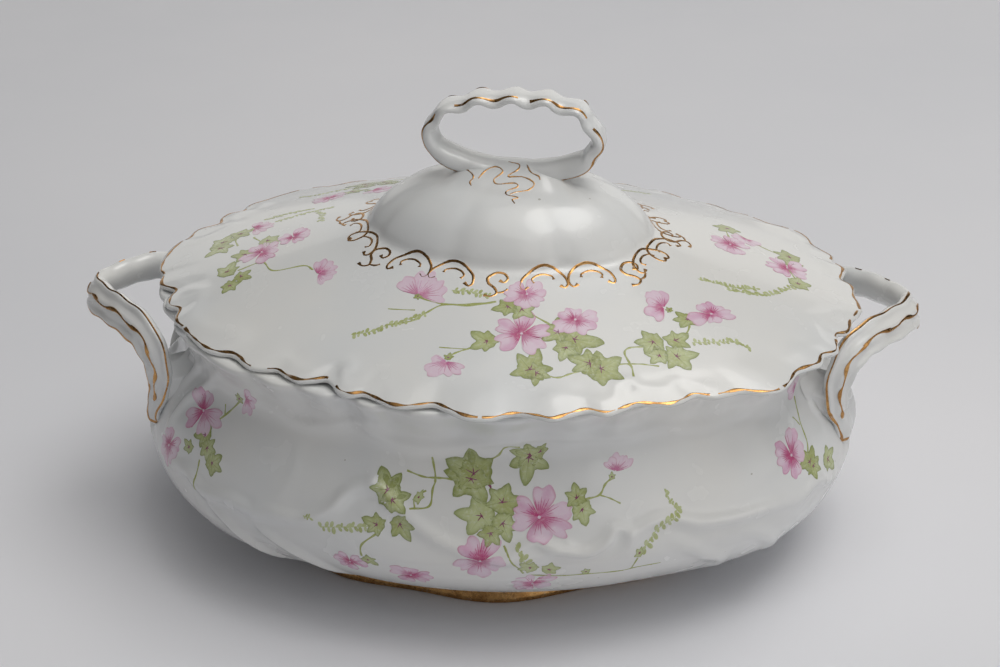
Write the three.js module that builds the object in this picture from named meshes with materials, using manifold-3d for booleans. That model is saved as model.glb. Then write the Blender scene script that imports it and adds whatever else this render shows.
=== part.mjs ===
// A covered oval tureen of thin glazed porcelain, in millimetres, +Z up.
// The origin is on the table under the middle of the bowl, and +X runs towards the right handle.
// The bowl carries a foot ring and two bail handles. The lid lifts straight off: it has a locating
// flange under its skirt and an oval loop handle on its crown.
import * as THREE from "three";
import { mergeVertices } from "three/addons/utils/BufferGeometryUtils.js";
import Module from "manifold-3d";

const wasm = await Module();
wasm.setup();

// Clearance between pieces that touch.
const GAP = 0.3;
// A trimming solid is grown by this much, because faceted curves meet a little inside their line.
const TRIM = GAP + 0.1;

// Heights above the table.
const FOOT_TOP = 5.7;
const BELLY_HEIGHT = 46;
const NECK_HEIGHT = 83;
const RIM_TOP = 102.3;
const LID_EDGE_TOP = 104.7;
const CROWN_TOP = 150;
const LOOP_TOP = 182;

// Half depths, front to back. The half lengths follow from them, see halfLength.
const FOOT_HALF_DEPTH = 62;
const BELLY_HALF_DEPTH = 102.2;
const NECK_HALF_DEPTH = 90.5;
const RIM_HALF_DEPTH = 97.5;
const LID_HALF_DEPTH = 100;
const DOME_HALF_DEPTH = 38;
const FLANGE_HALF_DEPTH = 78.5;

const WALL = 3.2;
const RIM_LEDGE = 9.5;
const FOOT_RING_WIDTH = 4.5;
const FLANGE_THICKNESS = 3;
const FLANGE_BOTTOM = 94.5;

// The lid lies a little turned and off centre in the clearance that its flange leaves.
const LID_TURN = THREE.MathUtils.degToRad(-7);
const LID_SHIFT = 4;

// The oval is longer than deep: this ratio, plus a small constant that fades out at the middle.
const LENGTH_RATIO = 1.295;
const EXTRA_LENGTH = 5.5;
const EXTRA_FADE = 15;

// The edges have eight broad scallops, each with a dip at its middle.
const SCALLOPS = 8;
const SCALLOP_DEPTH = 0.022;
const DIP_DEPTH = 0.006;
const DOME_FLUTES = 16;
const FLUTE_DEPTH = 0.012;
const FOOT_LOBE_DEPTH = 0.035;
const FOOT_DRAWN_IN = 0.02;

const SEGMENTS = 64;

const porcelain = new THREE.MeshStandardMaterial({ color: 0xd9dad6, roughness: 0.12, metalness: 0 });
const gilding = new THREE.MeshStandardMaterial({ color: 0xb07a3a, roughness: 0.3, metalness: 1 });

function halfLength(halfDepth) {
  return LENGTH_RATIO * halfDepth + EXTRA_LENGTH * (1 - Math.exp(-halfDepth / EXTRA_FADE));
}

// Relative swelling of the outline at an angle around the oval. It fades out at the two ends,
// beside the handles.
function scallop(angle) {
  const wave = SCALLOP_DEPTH * Math.cos(SCALLOPS * angle) - DIP_DEPTH * Math.cos(2 * SCALLOPS * angle);
  return wave * (1 - Math.cos(angle) ** 6);
}

// The closed solid swept by a profile of (half depth, height) points around the oval.
// swell(angle, halfDepth, height) is the relative growth of the outline there.
function ovalGeometry(profile, swell) {
  const geometry = new THREE.LatheGeometry(profile, SEGMENTS);
  geometry.rotateX(Math.PI / 2);
  const position = geometry.attributes.position;
  for (let i = 0; i < position.count; i++) {
    const x = position.getX(i);
    const y = position.getY(i);
    const z = position.getZ(i);
    const halfDepth = Math.hypot(x, y);
    const angle = Math.atan2(y, x);
    const growth = 1 + swell(angle, halfDepth, z);
    position.setX(i, halfLength(halfDepth) * growth * Math.cos(angle));
    position.setY(i, halfDepth * growth * Math.sin(angle));
  }
  return geometry;
}

function solidOf(geometry) {
  const bare = geometry.clone();
  bare.deleteAttribute("normal");
  bare.deleteAttribute("uv");
  const merged = mergeVertices(bare, 1e-4);
  const mesh = new wasm.Mesh({
    numProp: 3,
    vertProperties: merged.attributes.position.array,
    triVerts: new Uint32Array(merged.index.array),
  });
  return new wasm.Manifold(mesh);
}

function geometryOf(solid) {
  const mesh = solid.getMesh();
  const geometry = new THREE.BufferGeometry();
  geometry.setAttribute("position", new THREE.BufferAttribute(mesh.vertProperties, 3));
  geometry.setIndex(new THREE.BufferAttribute(mesh.triVerts, 1));
  geometry.computeVertexNormals();
  return geometry;
}

function points(pairs) {
  return pairs.map(([halfDepth, height]) => new THREE.Vector2(halfDepth, height));
}

function smooth(pairs, steps) {
  return new THREE.SplineCurve(points(pairs)).getPoints(steps);
}

// 0 below low, 1 above high, and smooth between them.
function ramp(value, low, high) {
  return THREE.MathUtils.smoothstep(value, low, high);
}

// ---- Bowl: a flat underside, a full belly, a drawn-in neck and a flared rim.

const BOWL_FLOOR = FOOT_TOP + GAP;

const bowlOutside = [
  [FOOT_HALF_DEPTH - 1, BOWL_FLOOR],
  [FOOT_HALF_DEPTH + 10.5, BOWL_FLOOR + 6],
  [FOOT_HALF_DEPTH + 24, BOWL_FLOOR + 14.5],
  [BELLY_HALF_DEPTH - 5, BELLY_HEIGHT - 14.5],
  [BELLY_HALF_DEPTH, BELLY_HEIGHT],
  [BELLY_HALF_DEPTH - 3, BELLY_HEIGHT + 14],
  [NECK_HALF_DEPTH + 3.5, NECK_HEIGHT - 11],
  [NECK_HALF_DEPTH, NECK_HEIGHT],
  [NECK_HALF_DEPTH + 2.2, NECK_HEIGHT + 9],
  [RIM_HALF_DEPTH, RIM_TOP - 2.5],
];

const bowlInside = [
  [RIM_HALF_DEPTH - RIM_LEDGE, RIM_TOP],
  [NECK_HALF_DEPTH - 3.8, NECK_HEIGHT + 11],
  [NECK_HALF_DEPTH - WALL, NECK_HEIGHT],
  [NECK_HALF_DEPTH + 3 - WALL, NECK_HEIGHT - 11],
  [BELLY_HALF_DEPTH - 3.5 - WALL, BELLY_HEIGHT + 14],
  [BELLY_HALF_DEPTH - WALL, BELLY_HEIGHT],
  [BELLY_HALF_DEPTH - 6 - WALL, BELLY_HEIGHT - 13],
  [FOOT_HALF_DEPTH + 20, BOWL_FLOOR + 17],
  [FOOT_HALF_DEPTH + 4, BOWL_FLOOR + 7.5],
  [FOOT_HALF_DEPTH - 20, BOWL_FLOOR + WALL + 0.6],
];

// The rim is scalloped and the neck under it is plain.
function bowlSwell(angle, halfDepth, height) {
  const onRim = ramp(height, NECK_HEIGHT + 2, RIM_TOP - 2);
  return scallop(angle) * onRim;
}

function makeBowl() {
  const profile = [
    new THREE.Vector2(0, BOWL_FLOOR),
    ...smooth(bowlOutside, 16),
    new THREE.Vector2(RIM_HALF_DEPTH - 0.6, RIM_TOP),
    ...smooth(bowlInside, 13),
    new THREE.Vector2(0, BOWL_FLOOR + WALL),
  ];
  return ovalGeometry(profile, bowlSwell);
}

// The bowl's outside as a filled solid grown by the clearance, for trimming what is luted to it.
function makeBowlTrimmer() {
  const grown = bowlOutside.map(([halfDepth, height]) => [halfDepth + TRIM, height]);
  const profile = [
    new THREE.Vector2(0, 1),
    new THREE.Vector2(FOOT_HALF_DEPTH, 1),
    ...smooth(grown, 16),
    new THREE.Vector2(RIM_HALF_DEPTH + 0.2, RIM_TOP + GAP),
    new THREE.Vector2(0, RIM_TOP + GAP),
  ];
  return ovalGeometry(profile, bowlSwell);
}

// ---- Foot ring: a low gilded ring with a flat bottom face.

// The ring bulges under each scallop of the edge.
function footSwell(angle) {
  return FOOT_LOBE_DEPTH * Math.cos(SCALLOPS * angle) - FOOT_DRAWN_IN;
}

function makeFootRing() {
  const inner = FOOT_HALF_DEPTH - FOOT_RING_WIDTH;
  const profile = points([
    [inner, 0],
    [FOOT_HALF_DEPTH - 0.5, 0],
    [FOOT_HALF_DEPTH, 0.8],
    [FOOT_HALF_DEPTH - 1.4, FOOT_TOP],
    [inner - 1, FOOT_TOP],
    [inner, 0],
  ]);
  return ovalGeometry(profile, footSwell);
}

// ---- Lid cover: a ruffled skirt that rises to a fluted dome.

const lidOutside = [
  [LID_HALF_DEPTH, LID_EDGE_TOP - 0.4],
  [LID_HALF_DEPTH - 2.5, LID_EDGE_TOP + 0.8],
  [LID_HALF_DEPTH - 18, LID_EDGE_TOP + 7.3],
  [LID_HALF_DEPTH - 36, LID_EDGE_TOP + 14.2],
  [DOME_HALF_DEPTH + 12, LID_EDGE_TOP + 19.3],
  [DOME_HALF_DEPTH + 4, CROWN_TOP - 23],
  [DOME_HALF_DEPTH - 1.5, CROWN_TOP - 19.7],
  [DOME_HALF_DEPTH - 5, CROWN_TOP - 15.5],
  [DOME_HALF_DEPTH - 8, CROWN_TOP - 10.5],
  [DOME_HALF_DEPTH - 12, CROWN_TOP - 6],
  [DOME_HALF_DEPTH - 17, CROWN_TOP - 2.8],
  [DOME_HALF_DEPTH - 25, CROWN_TOP - 0.8],
  [0.01, CROWN_TOP],
];

const lidInside = [
  [0.01, CROWN_TOP - WALL],
  [DOME_HALF_DEPTH - 26, CROWN_TOP - 0.9 - WALL],
  [DOME_HALF_DEPTH - 19, CROWN_TOP - 3 - WALL],
  [DOME_HALF_DEPTH - 14.4, CROWN_TOP - 6.2 - WALL],
  [DOME_HALF_DEPTH - 10.6, CROWN_TOP - 10.9 - WALL],
  [DOME_HALF_DEPTH - 7, CROWN_TOP - 16.1 - WALL],
  [DOME_HALF_DEPTH - 2, CROWN_TOP - 20.7 - WALL],
  [DOME_HALF_DEPTH + 12, LID_EDGE_TOP + 18.8 - WALL],
  [LID_HALF_DEPTH - 36, LID_EDGE_TOP + 13.6 - WALL],
  [LID_HALF_DEPTH - 14, LID_EDGE_TOP + 4.6 - WALL],
];

function lidSwell(angle, halfDepth) {
  const edge = scallop(angle) * ramp(halfDepth, LID_HALF_DEPTH - 30, LID_HALF_DEPTH);
  const onDome = ramp(halfDepth, DOME_HALF_DEPTH - 24, DOME_HALF_DEPTH - 14);
  const offDome = ramp(halfDepth, DOME_HALF_DEPTH - 4, DOME_HALF_DEPTH + 6);
  const flutes = FLUTE_DEPTH * Math.cos(DOME_FLUTES * angle) * onDome * (1 - offDome);
  return edge + flutes;
}

// The lid's upper surface from its edge to the crown, raised by lift.
function lidProfileTop(lift) {
  const raised = lidOutside.map(([halfDepth, height]) => [halfDepth, height + lift]);
  return smooth(raised, 19);
}

function makeLid() {
  const seat = RIM_TOP + GAP;
  const profile = [
    new THREE.Vector2(LID_HALF_DEPTH - 5.5, seat),
    new THREE.Vector2(LID_HALF_DEPTH - 0.8, seat),
    ...lidProfileTop(0).slice(0, -1),
    new THREE.Vector2(0, CROWN_TOP),
  ];
  const inside = smooth(lidInside, 12).slice(1);
  const closed = [
    new THREE.Vector2(0, CROWN_TOP - WALL),
    ...inside,
    ...profile,
  ];
  return ovalGeometry(closed, lidSwell);
}

// Everything under the lid's upper surface raised by the clearance, for trimming the loop's feet.
function makeLidTrimmer() {
  const profile = [
    new THREE.Vector2(0, RIM_TOP),
    new THREE.Vector2(LID_HALF_DEPTH, RIM_TOP),
    ...lidProfileTop(TRIM).slice(0, -1),
    new THREE.Vector2(0, CROWN_TOP + TRIM),
  ];
  return ovalGeometry(profile, lidSwell);
}

// The lid's underside as a filled solid lowered by the clearance, for trimming the flange's top.
function makeLidHollow() {
  const lowered = lidInside.map(([halfDepth, height]) => [halfDepth, height - TRIM]);
  const profile = [
    new THREE.Vector2(0, FLANGE_BOTTOM),
    new THREE.Vector2(LID_HALF_DEPTH - 14, FLANGE_BOTTOM),
    ...smooth(lowered, 12).reverse().slice(0, -1),
    new THREE.Vector2(0, CROWN_TOP - WALL - TRIM),
  ];
  return ovalGeometry(profile, lidSwell);
}

// ---- Locating flange: an upright oval wall under the skirt that drops inside the bowl's neck.

function makeFlange() {
  const inner = FLANGE_HALF_DEPTH - FLANGE_THICKNESS;
  const profile = points([
    [inner + 0.6, FLANGE_BOTTOM],
    [FLANGE_HALF_DEPTH - 0.6, FLANGE_BOTTOM],
    [FLANGE_HALF_DEPTH, FLANGE_BOTTOM + 1],
    [FLANGE_HALF_DEPTH, CROWN_TOP - 35],
    [inner, CROWN_TOP - 35],
    [inner, FLANGE_BOTTOM + 1],
    [inner + 0.6, FLANGE_BOTTOM],
  ]);
  return solidOf(ovalGeometry(profile, () => 0)).intersect(solidOf(makeLidHollow()));
}

// ---- Straps: a flattened section swept along a path, its broad face turned outwards.

// A path whose section is held by its own rule: across lies in the broad face and outward stands on
// it. width(t) and thickness(t) scale the unit section at the fraction t of the length.
class StrapPath extends THREE.CatmullRomCurve3 {
  constructor(stations, outwardAt, width, thickness) {
    super(stations, false, "centripetal");
    this.outwardAt = outwardAt;
    this.width = width;
    this.thickness = thickness;
  }

  computeFrenetFrames(steps) {
    const frames = { tangents: [], normals: [], binormals: [] };
    for (let i = 0; i <= steps; i++) {
      const t = i / steps;
      const tangent = this.getTangentAt(t);
      const wanted = this.outwardAt(this.getPointAt(t), t);
      const outward = wanted.clone().addScaledVector(tangent, -wanted.dot(tangent)).normalize();
      const across = new THREE.Vector3().crossVectors(outward, tangent);
      frames.tangents.push(tangent);
      frames.normals.push(outward.multiplyScalar(this.thickness(t) / 2));
      frames.binormals.push(across.multiplyScalar(-this.width(t) / 2));
    }
    return frames;
  }
}

// A flattened section of unit half sizes with two shallow channels on its outward side.
function strapSection() {
  const shape = new THREE.Shape();
  shape.moveTo(-0.9, 0);
  shape.quadraticCurveTo(-0.9, 0.85, 0, 1);
  shape.quadraticCurveTo(1.25, 0.95, 0.75, 0.45);
  shape.quadraticCurveTo(0.7, 0.2, 1, 0);
  shape.quadraticCurveTo(0.7, -0.2, 0.75, -0.45);
  shape.quadraticCurveTo(1.25, -0.95, 0, -1);
  shape.quadraticCurveTo(-0.9, -0.85, -0.9, 0);
  return shape;
}

function strapGeometry(path, steps) {
  return new THREE.ExtrudeGeometry(strapSection(), { steps, curveSegments: 2, extrudePath: path });
}

// ---- Side handles: bails that leave the belly as tongues, rise past the rim and meet in a point.

const HANDLE_REACH = 156.4;
const HANDLE_TOP = 98;

// The back leg from its tongue on the belly to the blunt point. The front leg mirrors it.
const handleLeg = [
  [128, 24, 47.5],
  [133, 25.8, 55.5],
  [131, 28.5, 62.5],
  [128.6, 30.5, 70],
  [127.8, 31.5, 79],
  [129.8, 31, 87.5],
  [134.4, 27, 94.5],
  [142, 19.5, 97.3],
  [151, 8, HANDLE_TOP],
];

function makeHandle() {
  const back = handleLeg.map(([x, y, z]) => new THREE.Vector3(x, y, z));
  const front = handleLeg.map(([x, y, z]) => new THREE.Vector3(x, -y, z)).reverse();
  const stations = [...back, new THREE.Vector3(HANDLE_REACH, 0, HANDLE_TOP), ...front];
  const outward = (point) => new THREE.Vector3(1.1, point.y / 45, 0.55);
  const fromTip = (t) => Math.min(t, 1 - t) * 2;
  const width = (t) => 7 + 6 * ramp(fromTip(t), 0.05, 0.6);
  const thickness = (t) => 5 + 1.2 * ramp(fromTip(t), 0.1, 0.9);
  const path = new StrapPath(stations, outward, width, thickness);
  const strap = solidOf(strapGeometry(path, 30));
  return strap.subtract(solidOf(makeBowlTrimmer()));
}

// ---- Loop handle: an upright oval ring on the crown, swept as two halves and joined.

const LOOP_HALF_LENGTH = 31.7;
const LOOP_WIDTH = 13;
const LOOP_THICKNESS = 5.6;
const LOOP_SQUARENESS = 0.88;
const LOOP_SHIFT = 1.2;

// Draws a sine or cosine towards its ends, which squares the oval up.
function squared(value) {
  return Math.sign(value) * Math.abs(value) ** LOOP_SQUARENESS;
}

function makeLoopHandle() {
  const top = LOOP_TOP - LOOP_THICKNESS / 2;
  const bottom = CROWN_TOP - 0.6;
  const centre = (top + bottom) / 2;
  const halfHeight = (top - bottom) / 2;
  const stations = [];
  for (let i = -1; i <= 13; i++) {
    const turn = (i / 12) * Math.PI;
    const x = LOOP_HALF_LENGTH * squared(Math.sin(turn));
    const z = centre - halfHeight * squared(Math.cos(turn));
    stations.push(new THREE.Vector3(x, 0, z));
  }
  const outward = ({ x, z }) => new THREE.Vector3(x / LOOP_HALF_LENGTH, 0, (z - centre) / halfHeight);
  const path = new StrapPath(stations, outward, () => LOOP_WIDTH, () => LOOP_THICKNESS);
  const half = solidOf(strapGeometry(path, 16));
  const ring = half.add(half.rotate([0, 0, 180])).translate([LOOP_SHIFT, 0, 0]);
  return ring.subtract(solidOf(makeLidTrimmer()));
}

// ---- Assembly.

function piece(name, geometry, material) {
  const mesh = new THREE.Mesh(geometry, material);
  mesh.name = name;
  return mesh;
}

const tureen = new THREE.Group();
tureen.add(piece("tureen_bowl", makeBowl(), porcelain));
tureen.add(piece("foot_ring", makeFootRing(), gilding));

const handleGeometry = geometryOf(makeHandle());
const handleRight = piece("handle_right", handleGeometry, porcelain);
const handleLeft = piece("handle_left", handleGeometry, porcelain);
handleLeft.rotation.z = Math.PI;
tureen.add(handleRight, handleLeft);

const lid = new THREE.Group();
lid.rotation.z = LID_TURN;
lid.position.x = LID_SHIFT;
lid.add(piece("lid_cover", makeLid(), porcelain));
lid.add(piece("lid_locating_flange", geometryOf(makeFlange()), porcelain));
lid.add(piece("lid_loop_handle", geometryOf(makeLoopHandle()), porcelain));
tureen.add(lid);

export default tureen;
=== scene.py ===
"""The looks of a covered oval soup tureen: thin glazed porcelain, worn gilding, painted sprays.

Shapes are worked out in millimetres and become metres when a mesh is made. Angles run round the
oval from +X, anticlockwise from above, so 270 degrees is the front.
"""

import math

import bpy
import numpy as np
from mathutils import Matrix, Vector


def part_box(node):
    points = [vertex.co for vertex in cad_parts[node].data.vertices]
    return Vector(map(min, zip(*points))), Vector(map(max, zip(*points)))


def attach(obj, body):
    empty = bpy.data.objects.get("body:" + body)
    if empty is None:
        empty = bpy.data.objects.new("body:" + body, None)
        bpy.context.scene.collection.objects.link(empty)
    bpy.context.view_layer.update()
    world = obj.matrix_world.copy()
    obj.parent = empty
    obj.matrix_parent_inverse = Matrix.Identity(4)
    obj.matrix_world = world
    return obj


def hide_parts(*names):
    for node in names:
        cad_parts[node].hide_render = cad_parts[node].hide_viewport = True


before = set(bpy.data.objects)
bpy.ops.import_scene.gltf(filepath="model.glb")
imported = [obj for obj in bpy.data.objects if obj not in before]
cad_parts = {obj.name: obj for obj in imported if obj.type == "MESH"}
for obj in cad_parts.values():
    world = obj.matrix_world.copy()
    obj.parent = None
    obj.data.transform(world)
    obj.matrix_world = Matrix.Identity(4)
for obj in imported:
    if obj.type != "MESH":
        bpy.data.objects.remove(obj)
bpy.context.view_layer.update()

MM = 0.001
TURN = 2 * math.pi
SHELL_COLUMNS = 720


def placed(name, data, spot=(0, 0, 0), aim=None):
    """A new object in the scene, facing aim where one is given."""
    made = bpy.data.objects.new(name, data)
    made.location = spot
    if aim is not None:
        made.rotation_euler = (Vector(aim) - Vector(spot)).to_track_quat("-Z", "Y").to_euler()
    bpy.context.scene.collection.objects.link(made)
    return made


# ---- Camera.

AIM_HEIGHT = 0.082
CAMERA_DISTANCE = 0.872
CAMERA_RISE = math.radians(28.2)
CAMERA_TURN = math.radians(3)
LENS_MM = 80.7


def add_camera():
    aim = Vector((0, 0, AIM_HEIGHT))
    level = CAMERA_DISTANCE * math.cos(CAMERA_RISE)
    rise = CAMERA_DISTANCE * math.sin(CAMERA_RISE)
    spot = aim + Vector((level * math.sin(CAMERA_TURN), -level * math.cos(CAMERA_TURN), rise))
    camera = bpy.data.cameras.new("camera")
    camera.lens = LENS_MM
    camera.clip_end = 20
    bpy.context.scene.camera = placed("camera", camera, spot, aim)


add_camera()

# ---- Sizes from the CAD nodes, in millimetres.


def corners(node):
    low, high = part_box(node)
    return np.array(low) / MM, np.array(high) / MM


bowl_low, bowl_high = corners("tureen_bowl")
lid_low, lid_high = corners("lid_cover")
foot_high = corners("foot_ring")[1]
loop_high = corners("lid_loop_handle")[1]
flange_low, flange_high = corners("lid_locating_flange")

FLOOR = bowl_low[2]
RIM_TOP = bowl_high[2]
BELLY = bowl_high[1]
NECK = BELLY - 11.7
RIM = BELLY - 4.7
FOOT = foot_high[1]
FOOT_TOP = foot_high[2]
SEAT = lid_low[2]
CROWN = lid_high[2]
LID = BELLY - 2.2
DOME = 38
WALL = 3.2
LID_SHIFT = (lid_low[0] + lid_high[0]) / 2
LID_TURN = math.radians(-7)

# ---- Small tools.


def ramp(value, low, high):
    """0 below low, 1 above high, and smooth between them."""
    t = np.clip((value - low) / (high - low), 0, 1)
    return t * t * (3 - 2 * t)


def spline(points, per_span=12):
    """A smooth curve through the points, each any number of values."""
    p = np.array(points, float)
    p = np.vstack([2 * p[0] - p[1], p, 2 * p[-1] - p[-2]])
    t = np.linspace(0, 1, per_span, endpoint=False)[:, None]
    spans = []
    for a, b, c, d in zip(p, p[1:], p[2:], p[3:]):
        bend = (2 * a - 5 * b + 4 * c - d) * t**2 + (3 * b - a - 3 * c + d) * t**3
        spans.append(b + 0.5 * ((c - a) * t + bend))
    return np.vstack([*spans, p[-2:-1]])


def lap(count):
    """Angles spaced evenly round a whole turn."""
    return np.linspace(0, TURN, count, endpoint=False)


def unit(vectors):
    return vectors / np.maximum(np.linalg.norm(vectors, axis=-1, keepdims=True), 1e-12)


def headings(path, closed=False):
    """The direction of travel at each point of a path."""
    before, after = (path[-1:], path[:1]) if closed else (path[:1], path[-1:])
    wide = np.vstack([before, path, after])
    return unit(wide[2:] - wide[:-2])


def turned(along, aside, angle):
    """(right, up) of points measured along and across a direction."""
    c, s = math.cos(angle), math.sin(angle)
    return np.stack([along * c - aside * s, along * s + aside * c], -1)


def travelled(path):
    """How far along a path each of its points is."""
    return np.concatenate([[0], np.cumsum(np.linalg.norm(np.diff(path, axis=0), axis=1))])


def srgb(red, green, blue):
    """A colour given as 0 to 255 screen values, as linear light."""
    c = np.array([red, green, blue]) / 255
    return np.where(c <= 0.04045, c / 12.92, ((c + 0.055) / 1.055) ** 2.4)


def half_length(half_depth):
    return 1.295 * half_depth + 5.5 * (1 - np.exp(-half_depth / 15))


def oval(angle, half_depth, height, growth=0.0):
    k = 1 + growth
    x = half_length(half_depth) * k * np.cos(angle)
    y = half_depth * k * np.sin(angle)
    return np.stack(np.broadcast_arrays(x, y, height), -1)


# How far round the lid's oval an angle is, in millimetres at its edge.
_round = np.linspace(0, TURN, 1441)
_pace = np.hypot(half_length(LID) * np.sin(_round), LID * np.cos(_round))
_travel = np.concatenate([[0], np.cumsum((_pace[1:] + _pace[:-1]) / 2 * np.diff(_round))])


def around(angle):
    whole = np.floor(angle / TURN)
    return whole * _travel[-1] + np.interp(angle - whole * TURN, _round, _travel)


# ---- Skins: surfaces over an angle and a row, with relief standing on them.


class Skin:
    """row is a height on the bowl and a half depth on the lid. facing is 1 where a row runs
    upwards on the outside and -1 where it runs outwards on the top."""

    def __init__(self, smooth, across, facing):
        self.smooth = smooth
        self.across = across
        self.facing = facing
        self.ridges = []

    def ridge(self, path, height, width, step=0.0):
        """A rounded ridge along (degrees, row) points. step raises everything to its right."""
        line = spline(path, 14)
        angle = np.radians(line[:, 0])
        flat = np.stack([around(angle), self.across(line[:, 1])], -1)
        self.ridges.append((flat, height, width, step))

    def relief(self, angle, row):
        at = np.stack(np.broadcast_arrays(around(angle), self.across(row)), -1)
        flat = at.reshape(-1, 2)
        total = np.zeros(len(flat))
        whole = _travel[-1]
        for line, height, width, step in self.ridges:
            middle = (line[:, 0].min() + line[:, 0].max()) / 2
            near = flat.copy()
            near[:, 0] -= whole * np.round((near[:, 0] - middle) / whole)
            reach = 4 * width
            low, high = line.min(0) - reach, line.max(0) + reach
            touched = np.nonzero(((near > low) & (near < high)).all(1))[0]
            if not len(touched):
                continue
            gap = near[touched][:, None, :] - line[None]
            away = np.hypot(gap[..., 0], gap[..., 1])
            nearest = away.argmin(1)
            distance = away[np.arange(len(touched)), nearest]
            taper = np.sin(np.pi * np.clip(nearest / (len(line) - 1), 0.02, 0.98)) ** 0.5
            total[touched] += height * taper * np.exp(-((distance / width) ** 2))
            if step:
                heading = np.gradient(line, axis=0)[nearest]
                offset = gap[np.arange(len(touched)), nearest]
                side = heading[:, 0] * offset[:, 1] - heading[:, 1] * offset[:, 0]
                right = (side < 0) * np.exp(-distance / (3 * width))
                total[touched] += step * taper * right * (1 - np.exp(-((distance / width) ** 2)))
        return total.reshape(at.shape[:-1])

    def slopes(self, where, angle, row, small_turn=0.003, small_row=0.12):
        along = (where(angle + small_turn, row) - where(angle - small_turn, row)) / (2 * small_turn)
        over = (where(angle, row + small_row) - where(angle, row - small_row)) / (2 * small_row)
        return along, over

    def normal(self, angle, row, where=None):
        along, over = self.slopes(where or self.point, angle, row)
        return self.facing * unit(np.cross(along, over))

    def smooth_normal(self, angle, row):
        return self.normal(angle, row, self.smooth)

    def point(self, angle, row):
        lift = self.relief(angle, row)[..., None]
        return self.smooth(angle, row) + lift * self.smooth_normal(angle, row)

    def spots(self, centre, offsets):
        """Parameters of points given as (right, up) millimetres from a (degrees, row) centre."""
        angle, row = math.radians(centre[0]), centre[1]
        along, over = self.slopes(self.smooth, np.array(angle), np.array(float(row)))
        normal = self.facing * unit(np.cross(along, over))
        right = unit(along)
        up = np.cross(normal, right)
        moves = offsets[..., :1] * right + offsets[..., 1:] * up
        steps = moves @ np.linalg.pinv(np.stack([along, over], 1)).T
        return angle + steps[..., 0], row + steps[..., 1]


# ---- Meshes.


class Mesh:
    """Points in millimetres, faces and a colour for each point, gathered piece by piece."""

    def __init__(self):
        self.points = []
        self.faces = []
        self.colours = []
        self.count = 0

    def add(self, points, faces, colour=(1, 1, 1)):
        points = np.asarray(points, float).reshape(-1, 3)
        colours = np.broadcast_to(np.asarray(colour, float), (len(points), 3))
        self.points.append(points)
        self.colours.append(colours)
        self.faces.extend(tuple(int(i) + self.count for i in face) for face in faces)
        self.count += len(points)

    def grid(self, points, wrap_rows=False, cap_ends=False, colour=(1, 1, 1)):
        """Quads over an array of rows of points, each row a closed ring."""
        rows, columns = points.shape[:2]
        index = np.arange(rows * columns).reshape(rows, columns)
        down = np.vstack([index, index[:1]]) if wrap_rows else index
        both = np.hstack([down, down[:, :1]])
        corners_of = (both[:-1, :-1], both[:-1, 1:], both[1:, 1:], both[1:, :-1])
        faces = np.stack([c.ravel() for c in corners_of], -1).tolist()
        if cap_ends:
            faces.append(list(reversed(index[0])))
            faces.append(list(index[-1]))
        self.add(points, faces, colour)

    def piece(self, name, body, material, replaces=(), sharp=40):
        mesh = bpy.data.meshes.new(name)
        points = np.vstack(self.points) * MM
        mesh.from_pydata(points.tolist(), [], self.faces)
        paint = mesh.color_attributes.new("paint", "FLOAT_COLOR", "POINT")
        colours = np.hstack([np.vstack(self.colours), np.ones((len(points), 1))])
        paint.data.foreach_set("color", colours.ravel())
        mesh.polygons.foreach_set("use_smooth", [True] * len(mesh.polygons))
        mesh.set_sharp_from_angle(angle=math.radians(sharp))
        mesh.materials.append(material)
        mesh.validate()
        thing = placed(name, mesh)
        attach(thing, body)
        if replaces:
            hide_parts(*replaces)

    def gilt(self, name, body):
        self.piece(name, body, gold_lines)


# ---- Materials.


class Nodes:
    """A node material, built with short calls."""

    def __init__(self, name):
        self.material = bpy.data.materials.new(name)
        self.material.use_nodes = True
        self.tree = self.material.node_tree
        self.shader = self.tree.nodes["Principled BSDF"]
        self.place = self.node("ShaderNodeTexCoord", {})["Object"]

    def set(self, socket, value):
        """A socket takes a link, a colour or a plain number."""
        if isinstance(value, bpy.types.NodeSocket):
            self.tree.links.new(value, socket)
        elif isinstance(value, np.ndarray):
            socket.default_value = (*value, 1)
        else:
            socket.default_value = value

    def node(self, kind, inputs, **settings):
        made = self.tree.nodes.new(kind)
        for key, value in settings.items():
            setattr(made, key, value)
        for key, value in inputs.items():
            self.set(made.inputs[key], value)
        return made.outputs

    def noise(self, scale, detail=3.0, roughness=0.5, distortion=0.0):
        inputs = {"Vector": self.place, "Scale": scale, "Detail": detail}
        inputs |= {"Roughness": roughness, "Distortion": distortion}
        return self.node("ShaderNodeTexNoise", inputs)["Fac"]

    def spread(self, value, low, high, to_low=0.0, to_high=1.0):
        inputs = {"Value": value, "From Min": low, "From Max": high, "To Min": to_low, "To Max": to_high}
        return self.node("ShaderNodeMapRange", inputs, interpolation_type="SMOOTHSTEP")["Result"]

    def mix(self, factor, a, b):
        return self.node("ShaderNodeMix", {0: factor, 6: a, 7: b}, data_type="RGBA")[2]

    def bump(self, height, distance, strength, before=None):
        inputs = {"Height": height, "Distance": distance, "Strength": strength}
        if before is not None:
            inputs["Normal"] = before
        return self.node("ShaderNodeBump", inputs)["Normal"]

    def finish(self, *values):
        """Takes the colour, the roughness, the normal and, for gold, the metallic."""
        for name, value in zip(("Base Color", "Roughness", "Normal", "Metallic"), values):
            self.set(self.shader.inputs[name], value)
        return self.material


PORCELAIN = srgb(228, 228, 226)
PORCELAIN_COOL = srgb(222, 224, 225)
PORCELAIN_WARM = srgb(230, 227, 221)
KILN_SPECK = srgb(150, 142, 130)


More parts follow.
